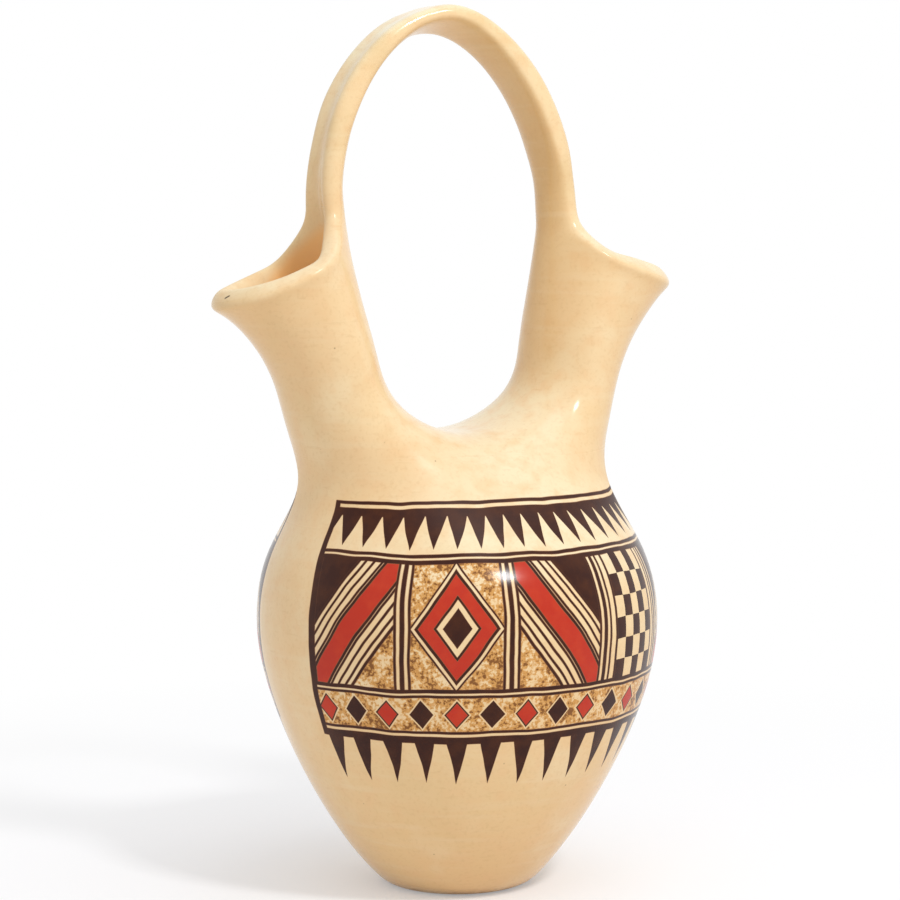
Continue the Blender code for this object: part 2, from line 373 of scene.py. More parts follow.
def stitch(bm, lower, upper, side, closed=True):
    """Quads between two rows of equal count, facing out on either side of the vase."""
    count = len(lower)
    for k in range(count if closed else count - 1):
        n = (k + 1) % count
        corners = (lower[k], lower[n], upper[n], upper[k])
        bm.faces.new(corners if side > 0 else corners[::-1])


def body_cage(bm):
    """Foot and wall up to the waist ring."""
    pole = add_points(bm, [(0.0, 0.0, 0.0)], [WALL])[0]
    ovals = [oval(radius, radius, height) for radius, height in body_sections()]
    ovals.append(oval(WAIST_HALF_LENGTH, WAIST_HALF_WIDTH, WAIST_HEIGHT))
    rings = [add_points(bm, points, [WALL] * RING_SIDES) for points in ovals]
    for k in range(RING_SIDES):
        bm.faces.new((rings[0][(k + 1) % RING_SIDES], rings[0][k], pole))
    for lower, upper in zip(rings, rings[1:]):
        stitch(bm, lower, upper, 1)
    return rings[-1]


def vase_cage():
    """The outer skin as a coarse mesh, with the strap's two edges marked as tighter bends."""
    bm = bmesh.new()
    waist = body_cage(bm)
    widths = (SADDLE_HALF_WIDTH, 0.0, -SADDLE_HALF_WIDTH)
    saddle = add_points(bm, [(0.0, y, SADDLE_HEIGHT) for y in widths], [WALL] * 3)
    top = HANDLE_SPRING + HANDLE_RISE
    half_width = 0.5 * (LEFT_STRAP_HALF_WIDTH + RIGHT_STRAP_HALF_WIDTH)
    upright = math.radians(90.0)
    apex = add_points(bm, *strap_row(0.0, top, upright, half_width, 0.0, RIGHT_STRAP_THICKNESS, 1))
    quarter = RING_SIDES // 4
    outer_sides = RING_SIDES // 2 + 1
    for side in (1, -1):
        half = [k if side > 0 else RING_SIDES // 2 - k for k in range(-quarter, quarter + 1)]
        below = [waist[k % RING_SIDES] for k in half] + saddle
        for share in SPOUT_STEPS:
            above = add_points(bm, spout_ring(share, side), spout_walls(share, side))
            stitch(bm, below, above, side)
            below = above
        row = below[outer_sides:]
        for points, walls in arch_rows(spout_ring(1.0, side)[outer_sides:], side):
            above = add_points(bm, points, walls)
            stitch(bm, row, above, side, closed=False)
            row = above
        stitch(bm, row, apex, side, closed=False)
    crease = bm.edges.layers.float.new("crease_edge")
    for edge in bm.edges:
        if edge.is_boundary and min(corner.co.z for corner in edge.verts) > HANDLE_SPRING:
            edge[crease] = STRAP_CREASE
    mesh = bpy.data.meshes.new("vase_cage")
    bm.to_mesh(mesh)
    bm.free()
    return mesh


cage_mesh = vase_cage()
print("cage faces:", len(cage_mesh.polygons))

# %% [markdown]
# ### Thickness and rounding
# Solidify gives the skin its inner side, and Subdivision Surface rounds both. The result is kept as
# a plain mesh, because the pot is cut into its sections next and every section has to keep the
# whole pot's smooth shading.

# %% From cage to skin
SMOOTH_LEVELS = 3


def add_object(name, data):
    made = bpy.data.objects.new(name, data)
    bpy.context.scene.collection.objects.link(made)
    return made


cage = add_object("vase_cage", cage_mesh)
wall_group = cage.vertex_groups.new(name="wall")
inside_group = cage.vertex_groups.new(name="inside")

shell = cage.modifiers.new("wall", "SOLIDIFY")
shell.thickness = THICKEST
shell.offset = -1.0
shell.vertex_group = wall_group.name
shell.shell_vertex_group = inside_group.name
rounding = cage.modifiers.new("rounding", "SUBSURF")
rounding.levels = SMOOTH_LEVELS
rounding.render_levels = SMOOTH_LEVELS

depsgraph = bpy.context.evaluated_depsgraph_get()
skin = bpy.data.meshes.new_from_object(
    cage.evaluated_get(depsgraph), preserve_all_data_layers=True, depsgraph=depsgraph)
print("skin faces:", len(skin.polygons))

# %% [markdown]
# ### Hand marks and the depth of the inside
# A coiled and scraped wall is never true: it swells and dips by a fraction of a millimetre, and the
# polish shows it. Two layers of noise push each vertex along its normal. Inside each mouth, below a
# slanting line, a darker warm tan is painted shadow, the shade that falls into the mouth. Two
# attributes tell the material of it: how far a vertex is on the inner skin, from the group that
# Solidify fills, and how far it is below that line as well.

# %% Uneven wall and inside attributes
COIL_WANDER = 0.00035
COIL_SCALE = 22.0
SCRAPE_WANDER = 0.00010
SCRAPE_SCALE = 70.0
FOOT_KEEPS_FLAT = 0.0040
SHADOW_LINE_REACH = 0.0580
SHADOW_LINE_HEIGHT = 0.2090
SHADOW_LINE_SLOPE = 1.40
SHADOW_LINE_SOFT = 0.0026


def group_weight(vertex, group):
    return sum(item.weight for item in vertex.groups if item.group == group.index)


def below_shadow_line(point):
    """How far a point lies below the edge of the painted shadow inside a mouth: 0 above it, 1 below."""
    upright_x = point.x + LEAN * max(0.0, point.z - LEAN_START)
    edge = SHADOW_LINE_HEIGHT + SHADOW_LINE_SLOPE * (SHADOW_LINE_REACH - abs(upright_x))
    return min(1.0, max(0.0, 0.5 + 0.5 * (edge - point.z) / SHADOW_LINE_SOFT))


normals = [vertex.normal.copy() for vertex in skin.vertices]
# Painted shadow inside the mouths: how far each inner vertex lies below the shadow line.
mouth_shadow = skin.attributes.new("mouth_shadow", "FLOAT", "POINT")
inner_skin = skin.attributes.new("inner_skin", "FLOAT", "POINT")
for vertex, normal in zip(skin.vertices, normals):
    inner = group_weight(vertex, inside_group)
    inner_skin.data[vertex.index].value = inner
    mouth_shadow.data[vertex.index].value = inner * below_shadow_line(vertex.co)
    wander = COIL_WANDER * noise.noise(vertex.co * COIL_SCALE)
    wander += SCRAPE_WANDER * noise.noise(vertex.co * SCRAPE_SCALE)
    lift = min(1.0, max(0.0, vertex.co.z) / FOOT_KEEPS_FLAT)
    vertex.co += normal * wander * lift
bpy.data.objects.remove(cage)
print("unslipped vertices:", sum(item.value > 0.5 for item in mouth_shadow.data))

# %% [markdown]
# ## Six luted sections
# The maker builds the pot from a base, a lower wall, a shoulder, two spouts and a strap, and lutes
# them together with wet slip. The joints are rubbed out, so no line may show between the pieces.
# The skin is cut at the CAD joints. Its normals are stored before the cut, and a cut interpolates
# what is stored on an edge's two ends, so each new vertex gets the normal of the uncut skin.

# %% Cuts at the CAD joints
def joint_height(below, above):
    """The middle of the luted joint between two CAD sections."""
    return 0.5 * (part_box(below)[1].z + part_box(above)[0].z)


BASE_JOINT = joint_height("base", "lower_body")
BELLY_JOINT = joint_height("lower_body", "shoulder")
SPOUT_JOINT = joint_height("shoulder", "left_spout")
HANDLE_JOINT = joint_height("left_spout", "handle")
JOINTS = (BASE_JOINT, BELLY_JOINT, SPOUT_JOINT, HANDLE_JOINT)

skin.update()
skin_normal = skin.attributes.new("skin_normal", "FLOAT_VECTOR", "POINT")
for vertex, slot in zip(skin.vertices, skin_normal.data):
    slot.vector = vertex.normal
whole = bmesh.new()
whole.from_mesh(skin)
for height in JOINTS:
    everything = whole.verts[:] + whole.edges[:] + whole.faces[:]
    bmesh.ops.bisect_plane(whole, geom=everything, plane_co=(0, 0, height), plane_no=(0, 0, 1))
whole.to_mesh(skin)
whole.free()
print("joints at", [round(height, 4) for height in JOINTS])

# %% [markdown]
# ### Closing a section
# A section keeps the faces whose centres lie between its two joints, and on its side for a spout.
# The open edges at a joint lie in one plane, so a triangle fill closes the ring of cut clay.

# %% One section of the skin
JOINT_SNAP = 0.00001


def section_of_skin(name, low, high, side=0):
    """A closed piece of the skin between two heights, on one side of the vase or on both."""
    bm = bmesh.new()
    bm.from_mesh(skin)

    def outside(face):
        centre = face.calc_center_median()
        return not low < centre.z < high or side * centre.x < 0.0

    bmesh.ops.delete(bm, geom=[face for face in bm.faces if outside(face)], context="FACES")
    caps = []
    for height, facing in ((low, -1), (high, 1)):
        rim = [edge for edge in bm.edges if edge.is_boundary
               and all(abs(vert.co.z - height) < JOINT_SNAP for vert in edge.verts)]
        if rim:
            filled = bmesh.ops.triangle_fill(bm, edges=rim, normal=(0, 0, facing), use_beauty=True)
            caps += [item for item in filled["geom"] if isinstance(item, bmesh.types.BMFace)]
    for face in bm.faces:
        face.smooth = True
    for face in caps:
        face.smooth = False
        face.normal_update()
        if face.normal.z * (1 if face.calc_center_median().z > 0.5 * (low + high) else -1) < 0.0:
            face.normal_flip()
    open_edges = sum(not edge.is_manifold for edge in bm.edges)
    mesh = bpy.data.meshes.new(name)
    bm.to_mesh(mesh)
    bm.free()
    print(name, "faces:", len(mesh.polygons), "open edges:", open_edges)
    return mesh


# %% [markdown]
# ### Shading across the joints
# Blender would average each piece's normals over its own faces alone, which draws a faint line at a
# cut. Custom normals copied from the whole skin keep the polish unbroken.

# %% Pieces in the scene
def add_section(name, low, high, side=0):
    """A section of the skin that stands for the CAD node of the same name."""
    mesh = section_of_skin(name + "_skin", low, high, side)
    stored = mesh.attributes["skin_normal"].data
    corner_normals = [tuple(stored[index].vector if face.use_smooth else face.normal)
                      for face in mesh.polygons for index in face.vertices]
    mesh.polygons.foreach_set("use_smooth", [True] * len(mesh.polygons))
    mesh.normals_split_custom_set(corner_normals)
    mesh.attributes.remove(mesh.attributes["skin_normal"])
    piece = add_object(name + "_skin", mesh)
    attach(piece, "root")
    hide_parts(name)
    return piece


UNDER = -1.0
OVER = 1.0
base = add_section("base", UNDER, BASE_JOINT)
lower_body = add_section("lower_body", BASE_JOINT, BELLY_JOINT)
shoulder = add_section("shoulder", BELLY_JOINT, SPOUT_JOINT)
left_spout = add_section("left_spout", SPOUT_JOINT, HANDLE_JOINT, -1)
right_spout = add_section("right_spout", SPOUT_JOINT, HANDLE_JOINT, 1)
handle = add_section("handle", HANDLE_JOINT, OVER)

# %% [markdown]
# ## Burnished slip
# The slip is a cream clay wash, rubbed with a stone while damp. It has warm clouds from the fire,
# faint level strokes of the stone, a fine mottle and a few dark pinholes. The gloss varies with the
# strokes. Painting an image would need a UV map without seams, so noise in the object's own
# coordinates is used: it runs through every section and never repeats.

# %% Where a point is on the vase
MM = 0.001


def surface_point(tree):
    """The position on the vase, in metres in the shared frame."""
    return Wire(tree).node("ShaderNodeTexCoord", output="Object")


def surface_normal(point):
    return point.node("ShaderNodeNewGeometry", output="Normal")


def attribute(point, name):
    """A number that is stored on the vertices."""
    return point.node("ShaderNodeAttribute", {"attribute_name": name}, output="Fac")


def axis_of(vector, axis):
    return vector.node("ShaderNodeSeparateXYZ", {}, {0: vector}, axis)


# %% [markdown]
# ### Noise, slopes and lines
# Four helpers build all patterns. A cloud is noise, a ramp turns a value into a share between 0 and 1,
# a stroke is a line where a value passes a centre, and a tint is mixed in where a value goes from
# `low` to `high`.

# %% Pattern helpers
def cloud(point, scale, detail=2.0, stretch=(1.0, 1.0, 1.0), roughness=0.5):
    """Noise between 0 and 1, in patches of about 1 / scale metres."""
    place = point.vector("MULTIPLY", {0: point, 1: stretch})
    inputs = {"Vector": place, "Scale": scale, "Detail": detail, "Roughness": roughness}
    return place.node("ShaderNodeTexNoise", {}, inputs)


def ramp(value, low, high):
    """0 at low, 1 at high, a straight slope between and level beyond."""
    return value.node("ShaderNodeMapRange", {}, {"Value": value, "From Min": low, "From Max": high})


def stroke(value, centre, width, edge):
    """A line of the given width where a value passes its centre."""
    return 1 - ramp(abs(value - centre), 0.5 * width - edge, 0.5 * width + edge)


def tinted(colour, tint, value, low, high, share=1.0):
    """A colour with a share of a tint mixed in where a value goes from low to high."""
    return (share * ramp(value, low, high)).mixed(colour, tint)


# %% [markdown]
# ### Colours of the slip
# The colours are written as they look in plain light: a cream, a paler tint on faces that look up
# (painted top light) and a warmer tan on faces that look down (painted shade), a blush for the fire
# clouds, a bloom where the stone worked longest, tans for streaks and smudges, a tan for the painted
# shade towards the gap, a tan for the painted shadow inside the mouths, and a brown for pinholes.

# %% Slip colours
CREAM = (0.820, 0.618, 0.352, 1.0)
# Painted top light: the paler tint on faces that look up.
PAINTED_TOP_LIGHT = (0.835, 0.755, 0.530, 1.0)
# Painted shade: the warmer, darker tan on faces that look down.
PAINTED_UNDER_SHADE = (0.740, 0.470, 0.205, 1.0)
FIRE_BLUSH = (0.785, 0.502, 0.255, 1.0)
BLOOM = (0.840, 0.698, 0.448, 1.0)
STREAK_TAN = (0.560, 0.330, 0.140, 1.0)
SMUDGE_TAN = (0.710, 0.500, 0.245, 1.0)
# Painted shade on the faces towards the gap between the spouts and under the strap.
GAP_SHADE_TAN = (0.600, 0.350, 0.125, 1.0)
PINHOLE = (0.160, 0.080, 0.035, 1.0)
# Painted shadow inside the mouths, below the slanting line.
MOUTH_SHADOW_TAN = (0.860, 0.510, 0.210, 1.0)

# %% [markdown]
# ### Pinholes and painted shade
# Pinholes are dots in a few cells of a Voronoi pattern. Painted shade darkens the clay that faces the
# gap: the right spout's inner side and the underside of the strap. A dot product of the normal with one
# direction finds it.

# %% Pinholes and painted shade
PINHOLE_SCALE = 190.0
PINHOLE_SHARE = 0.10
PINHOLE_RADII = (0.03, 0.075)
GAP_DIRECTION = (-0.75, 0.0, -0.66)
GAP_FACING = (0.10, 0.60)
GAP_SHADE_HEIGHTS = (150.0 * MM, 230.0 * MM)
GAP_SHADE_PLACES = (-12.0 * MM, 10.0 * MM)
HARD_EDGE = 0.001


def pinholes(point):
    """Mask of the small dark dots."""
    inputs = {"Vector": point, "Scale": PINHOLE_SCALE}
    reach = point.node("ShaderNodeTexVoronoi", {}, inputs, "Distance")
    cell = point.node("ShaderNodeTexVoronoi", {}, inputs, "Color")
    lot = cell.node("ShaderNodeSeparateColor", {}, {0: cell}, 0)
    chosen = 1 - ramp(lot, PINHOLE_SHARE, PINHOLE_SHARE + HARD_EDGE)
    return (1 - ramp(reach, *PINHOLE_RADII)) * chosen


def gap_shade(point):
    """Mask of painted shade on the clay that faces the gap, on the right spout and the strap above it.
    """
    normal = surface_normal(point)
    to_gap = normal.vector("DOT_PRODUCT", {0: normal, 1: GAP_DIRECTION}, "Value")
    high = ramp(axis_of(point, "Z"), *GAP_SHADE_HEIGHTS)
    return ramp(to_gap, *GAP_FACING) * high * ramp(axis_of(point, "X"), *GAP_SHADE_PLACES)


# %% [markdown]
# ### Layers of the slip
# The layers go on from the broad ones to the fine ones. The spouts stood nearest to the fire and have
# an even blush. The strap is what hands take hold of, so it has more smudges.

# %% Slip layers
BLUSH_SCALE = 14.0
BLUSH_RANGE = (0.42, 0.72)
BLUSH_SHARE = 0.55
SPOUT_FOOT = (150.0 * MM, 175.0 * MM)
SPOUT_LIP = (200.0 * MM, 225.0 * MM)
SPOUT_BLUSH_SHARE = 0.30
BLOOM_SCALE = 32.2
MOTTLE_SCALE = 160.0
SMUDGE_SCALE = 42.0
STRAP_ROOT = (225.0 * MM, 250.0 * MM)
SMUDGE_SHARE = 0.28
STRAP_SMUDGE_SHARE = 0.27
GAP_SHADE_SHARE = 0.50
GRAIN_SCALE = 800.0
STROKE_SCALE = 95.0
STROKE_STRETCH = (0.25, 0.25, 3.0)
STREAK_SCALE = 210.0
STREAK_STRETCH = (0.60, 0.60, 2.6)
PINHOLE_DARK = 0.50


def stone_strokes(point):
    return cloud(point, STROKE_SCALE, 3.0, STROKE_STRETCH)


def slip_colour(point):
    up = axis_of(surface_normal(point), "Z")
    height = axis_of(point, "Z")
    # Painted top light and painted shade: paler where a face looks up, warmer and darker where it looks
    # down.
    colour = tinted(CREAM, PAINTED_TOP_LIGHT, up, low=0.25, high=0.85, share=0.92)
    colour = tinted(colour, PAINTED_UNDER_SHADE, up, low=0.05, high=-0.60, share=0.62)
    spouts = ramp(height, *SPOUT_FOOT) * (1 - ramp(height, *SPOUT_LIP))
    blush = ramp(cloud(point, BLUSH_SCALE), *BLUSH_RANGE)
    colour = (BLUSH_SHARE * blush | SPOUT_BLUSH_SHARE * spouts).mixed(colour, FIRE_BLUSH)
    colour = tinted(colour, BLOOM, cloud(point, BLOOM_SCALE), low=0.55, high=0.80, share=0.60)
    mottle = cloud(point, MOTTLE_SCALE, detail=4.0)
    colour = tinted(colour, FIRE_BLUSH, mottle, low=0.45, high=0.72, share=0.50)
    smudges = cloud(point, SMUDGE_SCALE, detail=5.0, roughness=0.62)
    smudge_share = SMUDGE_SHARE + STRAP_SMUDGE_SHARE * ramp(height, *STRAP_ROOT)
    colour = tinted(colour, SMUDGE_TAN, smudges, low=0.50, high=0.68, share=smudge_share)
    # Painted shade: a darker tan on the faces towards the gap and under the strap.
    colour = (GAP_SHADE_SHARE * gap_shade(point)).mixed(colour, GAP_SHADE_TAN)
    grain = cloud(point, GRAIN_SCALE, detail=3.0)
    colour = tinted(colour, STREAK_TAN, grain, low=0.52, high=0.70, share=0.15)
    colour = tinted(colour, BLOOM, stone_strokes(point), low=0.52, high=0.75, share=0.20)
    streaks = cloud(point, STREAK_SCALE, 3.0, STREAK_STRETCH)
    colour = tinted(colour, STREAK_TAN, streaks, low=0.63, high=0.78, share=0.20)
    return (PINHOLE_DARK * pinholes(point)).mixed(colour, PINHOLE)


# %% [markdown]
# ### Gloss of the slip
# Stone strokes leave the polish uneven. The roughness rises a little between the strokes, more in the
# hollow of the waist, where the stone slides over, and most inside the mouths, where no stone
# reaches. A very shallow bump of the same strokes bends the highlights, as on the real wall.

# %% Slip gloss
POLISH = 0.13
DULL_STROKES = 0.06
DULL_WAIST = 0.30
WAIST_REACH = (4.0 * MM, 16.0 * MM)
DULL_INSIDE = 0.40
MOUTH_TOP = (222.0 * MM, 236.0 * MM)
STROKE_DEPTH = 0.06 * MM
BUMP_STRENGTH = 0.35
FINE_SCALE = 285.0
FINE_BUMP = 0.5
PINHOLE_BUMP = 0.6


def slip_gloss(point):
    height = axis_of(point, "Z")
    waist = 1 - ramp(abs(height - WAIST_HEIGHT), *WAIST_REACH)
    mouth = attribute(point, "inner_skin") * (1 - ramp(height, *MOUTH_TOP))
    return POLISH + DULL_STROKES * stone_strokes(point) + DULL_WAIST * waist + DULL_INSIDE * mouth


def slip_bump(point):
    """Normals bent by strokes, fine scratches and pinholes."""
    height = stone_strokes(point) + FINE_BUMP * cloud(point, FINE_SCALE) - PINHOLE_BUMP * pinholes(point)
    inputs = {"Strength": BUMP_STRENGTH, "Distance": STROKE_DEPTH, "Height": height}
    return point.node("ShaderNodeBump", {}, inputs)


# %% [markdown]
# ### One shader for all clay
# Every finish differs in colour and roughness alone. Inside the mouths, below the slanting line, a
# darker warm tan is painted shadow.

# %% Clay shader
SPECULAR_LEVEL = 0.22


# Mask of the painted shadow inside the mouths.
def mouth_shadow_mask(point):
    return attribute(point, "mouth_shadow")


def new_tree(name):
    material = bpy.data.materials.new(name)
    material.use_nodes = True
    material.node_tree.nodes.clear()
    return material, material.node_tree


def finish_clay(point, colour, gloss):
    """The Principled shader that every clay finish ends in."""
    # Painted shadow: a darker warm tan inside the mouths, below the slanting line.
    colour = mouth_shadow_mask(point).mixed(colour, MOUTH_SHADOW_TAN)
    shader = point.node("ShaderNodeBsdfPrincipled", {}, {
        "Base Color": colour,
        "Roughness": gloss,
        "Specular IOR Level": SPECULAR_LEVEL,
        "Normal": slip_bump(point),
    })
    shader.node("ShaderNodeOutputMaterial", {}, {"Surface": shader})


# %% [markdown]
# ### A nick in the lip
# The tip of the left lip was knocked once, and a short dark line is left. It lies along one direction
# on the surface, so two dot products with directions in the surface bound it.

# %% Bare slip material
NICK_PLACE = Vector((-87.9, -4.5, 202.6)) * MM
NICK_ALONG = Vector((0.60, -0.75, 0.27))
NICK_ACROSS = Vector((0.37, 0.56, 0.74))
NICK_LENGTH = 2.2 * MM
NICK_WIDTH = 0.6 * MM
NICK_END = 0.3 * MM
NICK_SIDE = 0.15 * MM
NICK_REACH = (4.0 * MM, 5.0 * MM)
NICK_DARK = (0.070, 0.040, 0.020, 1.0)


def nick(point):
    """Mask of the short dark line near the left lip's tip."""
    away = point.vector("SUBTRACT", {0: point, 1: NICK_PLACE})
    along = away.vector("DOT_PRODUCT", {0: away, 1: NICK_ALONG}, "Value")
    across = away.vector("DOT_PRODUCT", {0: away, 1: NICK_ACROSS}, "Value")
    near = 1 - ramp(away.vector("LENGTH", {0: away}, "Value"), *NICK_REACH)
    line = stroke(along, 0.0, NICK_LENGTH, NICK_END) * stroke(across, 0.0, NICK_WIDTH, NICK_SIDE)
    return near * line


bare_slip, tree = new_tree("bare_slip")
point = surface_point(tree)
finish_clay(point, nick(point).mixed(slip_colour(point), NICK_DARK), slip_gloss(point))
print("nodes in the bare slip:", len(tree.nodes))

# %% [markdown]
# ## The painted frieze
# The body carries a frieze in dark mineral paint, red clay and sponged ochre. It is a plain
# geometric one of lozenges, chequers, slanted hatching, saw teeth and darts, drawn here from height
# and angle round the axis. Both are shaken a little by noise, because a yucca-fibre brush in a hand
# never draws a ruled line.

# %% Frieze coordinates
BRUSH_SHAKE = 2.2 * MM
SHAKE_SCALE = 45.0
NOISE_MIDDLE = (0.5, 0.5, 0.5)
BRUSH_EDGE = 0.16 * MM
PANELS = 12
FIRST_PANEL_TURN = -120.0 / 360.0


def brushed_point(point):
    """The position, shaken as by a hand that follows the wall."""
    shake = point.node("ShaderNodeTexNoise", {}, {"Vector": point, "Scale": SHAKE_SCALE}, "Color")
    centred = point.vector("SUBTRACT", {0: shake, 1: NOISE_MIDDLE})
    scaled = point.vector("SCALE", {0: centred, "Scale": BRUSH_SHAKE})
    return point.vector("ADD", {0: point, 1: scaled})


def height_and_turn(point):
    """Height in metres, and the angle round the axis as a share of a full turn."""
    axes = [axis_of(point, axis) for axis in "XYZ"]
    turn = point.math("ARCTAN2", axes[1], axes[0]) / (2.0 * math.pi)
    return axes[2], turn - FIRST_PANEL_TURN


def above(value, limit, edge):
    return ramp(value, limit - edge, limit + edge)


def between(value, low, high, edge):
    return above(value, low, edge) * (1 - above(value, high, edge))


# %% [markdown]
# ### Bands round the body
# From the top: two framing lines, a row of saw teeth, the panel band, a row of small lozenges on
# sponged ground, two more lines and hanging darts. Each is a mask between 0 and 1. A line is given by
# the height of its middle and its width.

# %% Heights of the bands
TOP_LINES = ((136.0 * MM, 1.0 * MM), (133.2 * MM, 2.4 * MM), (120.4 * MM, 1.0 * MM))
PANEL_LINES = ((118.6 * MM, 1.3 * MM), (77.4 * MM, 1.3 * MM))
LOW_LINES = ((75.6 * MM, 0.9 * MM), (63.4 * MM, 0.9 * MM), (60.8 * MM, 2.4 * MM))
TEETH_TOP = 132.4 * MM
TEETH_FOOT = 122.2 * MM
TEETH = 48
BEAD_MIDDLE = 69.5 * MM
BEAD_HALF_HEIGHT = 4.4 * MM
BEAD_TAPER = 3.1
BEADS = 36
DART_TOP = 60.0 * MM
DART_LENGTH = 15.0 * MM
DART_TAPER = 3.2
DARTS = 36
POINT_EDGE = 0.03


def swing(turn, count):
    """A triangle wave: 0 at the middle of each of the repeats round the pot, 0.5 between them."""
    return abs((turn * count + 0.5) % 1.0 - 0.5)


def level_lines(height):
    mask = 0.0
    for middle, width in TOP_LINES + PANEL_LINES + LOW_LINES:
        mask = stroke(height, middle, width, BRUSH_EDGE) | mask
    return mask


def saw_teeth(height, turn):
    """Teeth that hang from the upper lines."""
    share = (TEETH_TOP - height) / (TEETH_TOP - TEETH_FOOT)
    tooth = 1 - 2.0 * swing(turn, TEETH)
    return above(tooth - share, 0.0, POINT_EDGE) * between(height, TEETH_FOOT, TEETH_TOP, BRUSH_EDGE)


def darts(height, turn):
    """Slender points that hang below the frieze."""
    share = (DART_TOP - height) / DART_LENGTH
    dart = 1 - DART_TAPER * swing(turn, DARTS)
    row = between(height, DART_TOP - DART_LENGTH, DART_TOP, BRUSH_EDGE)
    return above(dart - share, 0.0, POINT_EDGE) * row


def bead_reach(height, turn):
    """How far a point is from the middle of its small lozenge: 1 at the edge."""
    return BEAD_TAPER * swing(turn, BEADS) + abs(height - BEAD_MIDDLE) / BEAD_HALF_HEIGHT


# %% [markdown]
# ### Panels of the main band
# Twelve panels go round: a red lozenge, slanted hatching, a chequer and hatching the other way, three
# times over. In a panel, `across` and `up` run from -0.5 to 0.5.

# %% Kinds of panel
PANEL_TOP = PANEL_LINES[0][0]
PANEL_FOOT = PANEL_LINES[1][0]
LOZENGE, HATCH, CHEQUER, HATCH_BACK = range(4)
KINDS = 4.0
STEP_EDGE = 0.01


def panel_place(height, turn):
    """Kind of panel, and the place across and up in it."""
    count = turn * PANELS + 0.5
    kind = math.floor(count) % KINDS
    up = (height - 0.5 * (PANEL_TOP + PANEL_FOOT)) / (PANEL_TOP - PANEL_FOOT)
    return kind, count % 1.0 - 0.5, up


def kind_is(kind, number):
    return 1 - above(abs(kind - number), 0.5, STEP_EDGE)


# %% [markdown]
# ### Drawings in the panels
# Each drawing is a few limits on one measure: the distance from the lozenge's middle or from the
# slanting bar, or the count of the chequer's columns and rows.

# %% Panel drawings
PANEL_EDGE = 0.006
LOZENGE_SPREAD = (2.55, 2.2)
LOZENGE_EDGE = 0.012
LOZENGE_LINES = ((0.95, 0.085), (0.52, 0.070), (1.10, 0.050))
LOZENGE_HEART = 0.34
LOZENGE_RED = (0.52, 0.95)
LOZENGE_GROUND = 1.10
HATCH_SLANT = 0.85
HATCH_STEP = 0.085
HATCH_LINE = (0.34, 0.06)
HATCH_REACH = (0.13, 0.40)
HATCH_FRAME = (0.13, 0.41)
HATCH_FRAME_WIDTH = 0.035
HATCH_RED = 0.12
HATCH_DARK = 0.42
HATCH_GROUND = -0.41
CHEQUER_COLUMNS = 7.5
CHEQUER_ROWS = 6.0
CHEQUER_REACH = 0.335
CHEQUER_FRAME = (0.345, 0.030)


def lozenge_panel(across, up):
    """Dark, red and sponged masks of the lozenge panel."""
    reach = abs(across) * LOZENGE_SPREAD[0] + abs(up) * LOZENGE_SPREAD[1]
    dark = 1 - above(reach, LOZENGE_HEART, LOZENGE_EDGE)
    for middle, width in LOZENGE_LINES:
        dark = dark | stroke(reach, middle, width, LOZENGE_EDGE)
    return dark, between(reach, *LOZENGE_RED, LOZENGE_EDGE), above(reach, LOZENGE_GROUND, LOZENGE_EDGE)


def hatch_panel(across, up):
    """Dark, red and sponged masks of the slanted panel."""
    slant = across + HATCH_SLANT * up
    side = abs(slant)
    lines = stroke(swing(slant / HATCH_STEP, 1), 0.0, *HATCH_LINE)
    dark = lines * between(side, *HATCH_REACH, PANEL_EDGE) | above(slant, HATCH_DARK, PANEL_EDGE)
    for middle in HATCH_FRAME:
        dark = dark | stroke(side, middle, HATCH_FRAME_WIDTH, PANEL_EDGE)
    red = 1 - above(side, HATCH_RED, PANEL_EDGE)
    return dark, red, 1 - above(slant, HATCH_GROUND, PANEL_EDGE)


def chequer_panel(across, up):
    """Dark mask of the chequer panel."""
    column = math.floor(across * CHEQUER_COLUMNS + 0.5)
    row = math.floor(up * CHEQUER_ROWS)
    field = 1 - above(abs(across), CHEQUER_REACH, PANEL_EDGE)
    squares = above((column + row) % 2.0, 0.5, STEP_EDGE) * field
    return squares | stroke(abs(across), *CHEQUER_FRAME, PANEL_EDGE)


# %% [markdown]
# ### The panel band and the bead strip
# Each drawing counts only in its own panels, inside the band and between the upright posts that part
# the panels. Below the band, the small lozenges are dark and red in turn.

# %% Panel band and bead strip
PANEL_START = 0.074
POSTS = ((0.0, 0.045), (0.068, 0.026))
BEAD_OUTLINE = 0.16
BEAD_GROUND = 1.25


def panel_band(height, turn):
    """Dark, red and sponged masks of the main band."""
    kind, across, up = panel_place(height, turn)
    border = 0.5 - abs(across)
    band = between(height, PANEL_FOOT, PANEL_TOP, BRUSH_EDGE)
    in_panel = above(border, PANEL_START, PANEL_EDGE) * band
    mirror = 1 - 2.0 * kind_is(kind, HATCH_BACK)
    lozenge = lozenge_panel(across, up)
    hatch = hatch_panel(across * mirror, up)
    is_lozenge = kind_is(kind, LOZENGE)
    is_hatch = kind_is(kind, HATCH) | kind_is(kind, HATCH_BACK)
    dark, red, sponged = [is_lozenge * a | is_hatch * b for a, b in zip(lozenge, hatch)]
    dark = in_panel * (dark | kind_is(kind, CHEQUER) * chequer_panel(across, up))
    for place, width in POSTS:
        dark = dark | stroke(border, place, width, PANEL_EDGE) * band
    return dark, in_panel * red, in_panel * sponged


